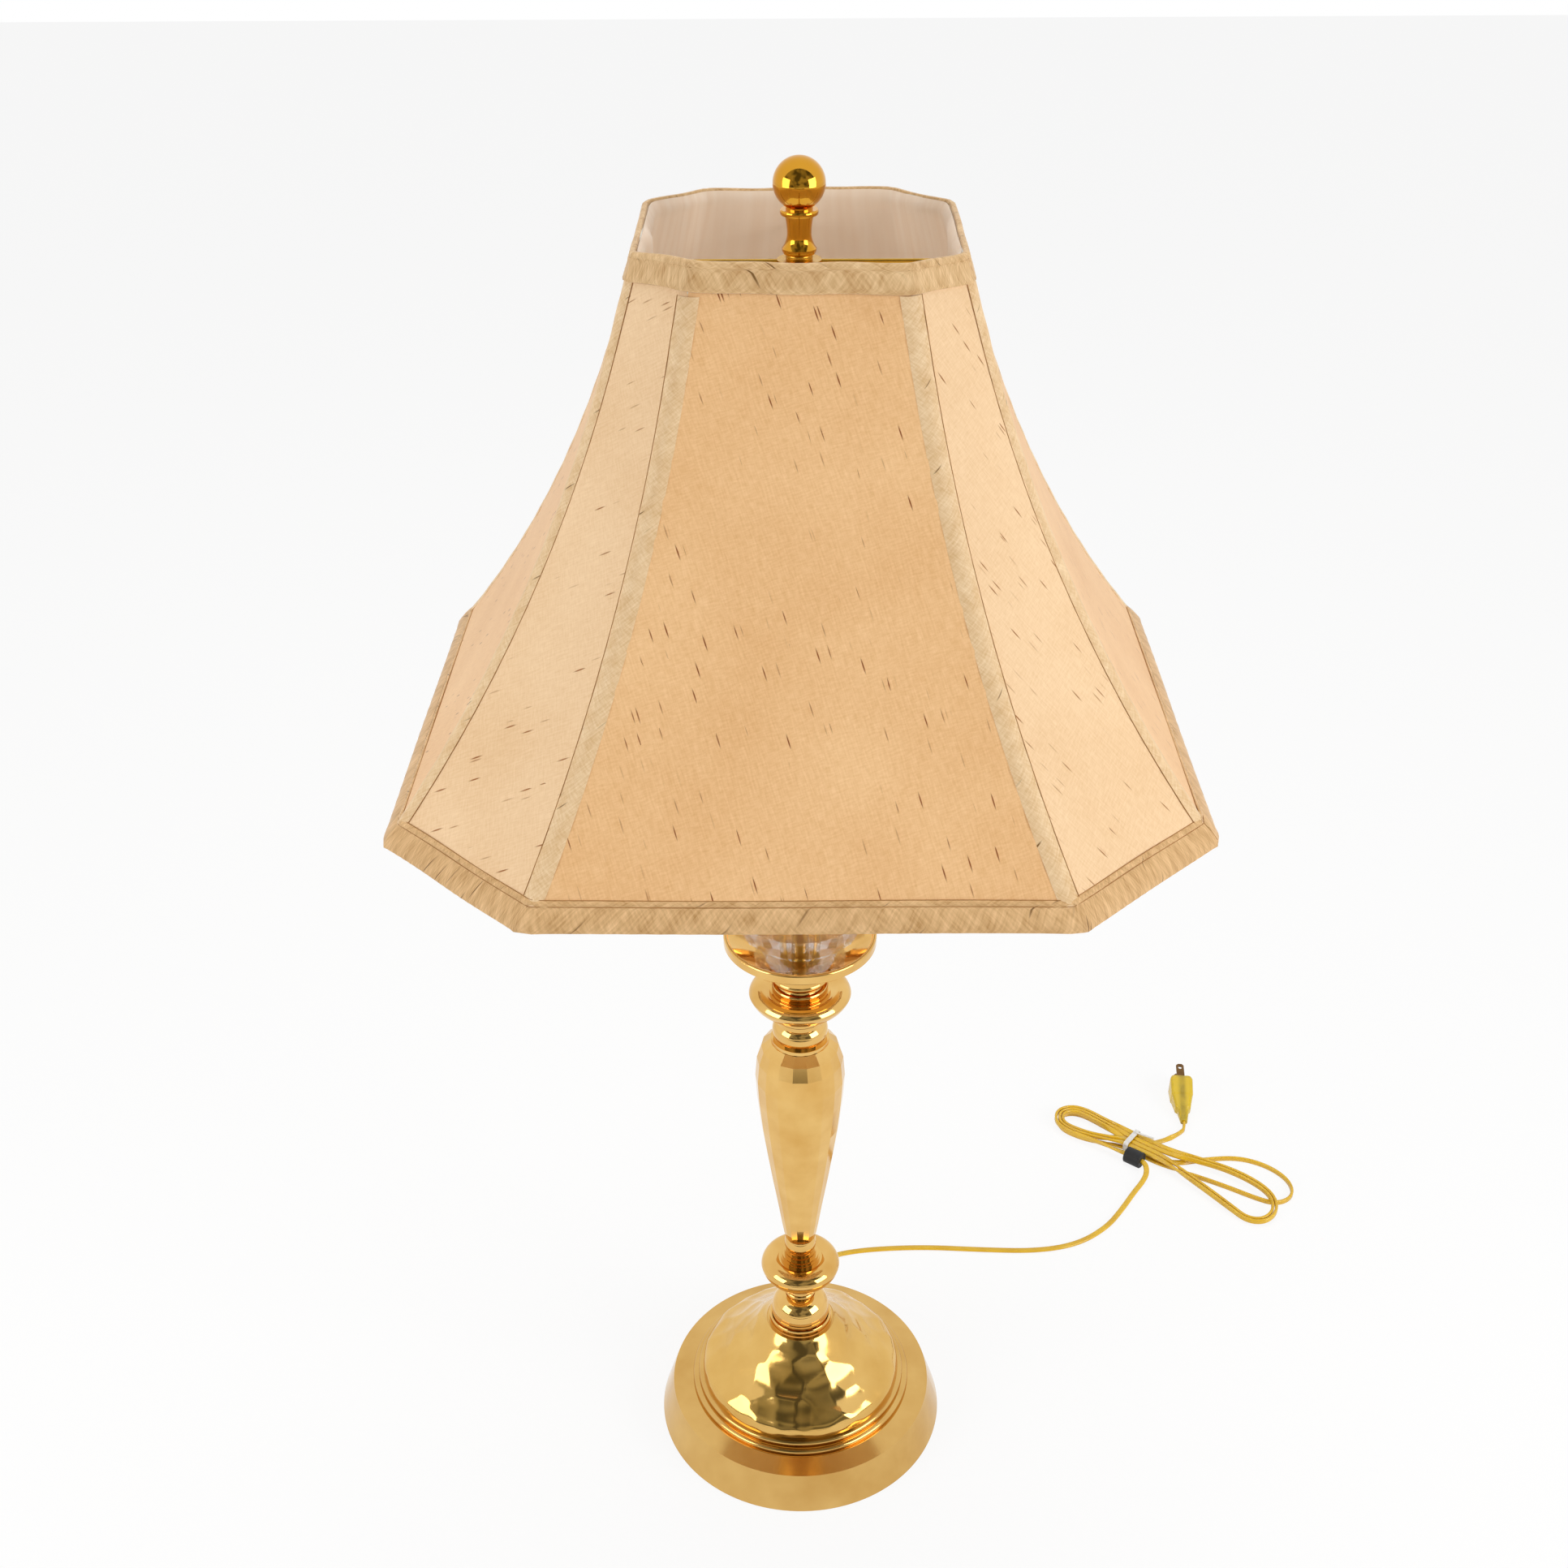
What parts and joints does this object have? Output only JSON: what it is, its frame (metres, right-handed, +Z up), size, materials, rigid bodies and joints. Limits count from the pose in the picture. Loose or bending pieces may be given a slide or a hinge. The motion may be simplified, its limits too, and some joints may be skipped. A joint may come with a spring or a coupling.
{
  "type": "table lamp",
  "caption": "Brass table lamp with a domed base, faceted baluster stem, cut crystal body and a cut-corner bell shade of silk on a harp, its cord tied in a hank.",
  "frame": {"origin": "centre of the base's underside, on the stem's axis", "axes": "+Z up the stem, -Y towards the viewer of the picture, +X to the viewer's right"},
  "size_m": [0.5986, 0.5518, 0.8425],
  "materials": {
    "polished_brass": "polished",
    "cast_iron": "as cast",
    "felt": "napped",
    "crystal": "cut and polished",
    "silk": "slubbed silk",
    "trim_cloth": "silk bias tape",
    "lining": "satin",
    "frame_wire": "painted",
    "card": "matt",
    "phenolic": "moulded",
    "cord_pvc": "translucent",
    "black_rubber": "matt",
    "tie": "satin",
    "plug_pvc": "translucent",
    "blade_brass": "tarnished"
  },
  "bodies": {
    "stand": {"felt_pad": "felt", "base_weight": "cast_iron", "base_shell": "polished_brass", "base_washer": "polished_brass", "base_nut": "polished_brass", "cord_grommet": "black_rubber", "lamp_pipe": "polished_brass", "pipe_wire": "cord_pvc", "vase_collar": "polished_brass", "lower_knop": "polished_brass", "knop_ring": "polished_brass", "baluster": "polished_brass", "neck_bead": "polished_brass", "upper_knop": "polished_brass", "cup_collar": "polished_brass", "brass_cup": "polished_brass", "crystal_seat": "polished_brass", "crystal_body": "crystal", "crystal_cap": "polished_brass", "cap_neck": "polished_brass", "harp_saddle": "polished_brass", "harp": "polished_brass", "harp_stud": "polished_brass", "socket_cap": "polished_brass", "socket_shell": "polished_brass", "socket_liner": "card", "socket_base": "phenolic", "screw_shell": "polished_brass", "centre_contact": "polished_brass", "cord_lead": "cord_pvc", "cord_hank": "cord_pvc", "cord_tail": "cord_pvc", "cord_sleeve": "black_rubber", "twist_tie": "tie", "plug_body": "plug_pvc", "plug_blades": "blade_brass"},
    "shade": {"spider_washer": "polished_brass", "spider_arms": "polished_brass", "shade_top_wire": "frame_wire", "shade_bottom_wire": "frame_wire", "shade_ribs": "frame_wire", "shade_lining": "lining", "rib_tapes": "trim_cloth", "top_trim": "trim_cloth", "bottom_trim": "trim_cloth", "panel_front": "silk", "panel_back": "silk", "panel_left": "silk", "panel_right": "silk", "panel_front_left": "silk", "panel_front_right": "silk", "panel_back_left": "silk", "panel_back_right": "silk"},
    "finial": {"finial": "polished_brass"},
    "switch": {"switch_stem": "polished_brass", "switch_knob": "phenolic"},
    "left_ferrule": {"ferrule_left": "polished_brass"},
    "right_ferrule": {"ferrule_right": "polished_brass"}
  },
  "joints": [
    {"name": "shade_turn", "type": "hinge", "parent": "stand", "child": "shade", "pos_m": [0, 0, 0.7911], "axis": [0, 0, 1], "continuous": true},
    {"name": "finial_turn", "type": "hinge", "parent": "stand", "child": "finial", "pos_m": [0, 0, 0.7962], "axis": [0, 0, 1], "continuous": true},
    {"name": "switch_turn", "type": "hinge", "parent": "stand", "child": "switch", "pos_m": [0, 0, 0.5731], "axis": [0, -1, 0], "continuous": true},
    {"name": "left_ferrule_lift", "type": "slide", "parent": "stand", "child": "left_ferrule", "axis": [0, 0, 1], "range_m": [0, 0.012]},
    {"name": "right_ferrule_lift", "type": "slide", "parent": "stand", "child": "right_ferrule", "axis": [0, 0, 1], "range_m": [0, 0.012]}
  ]
}
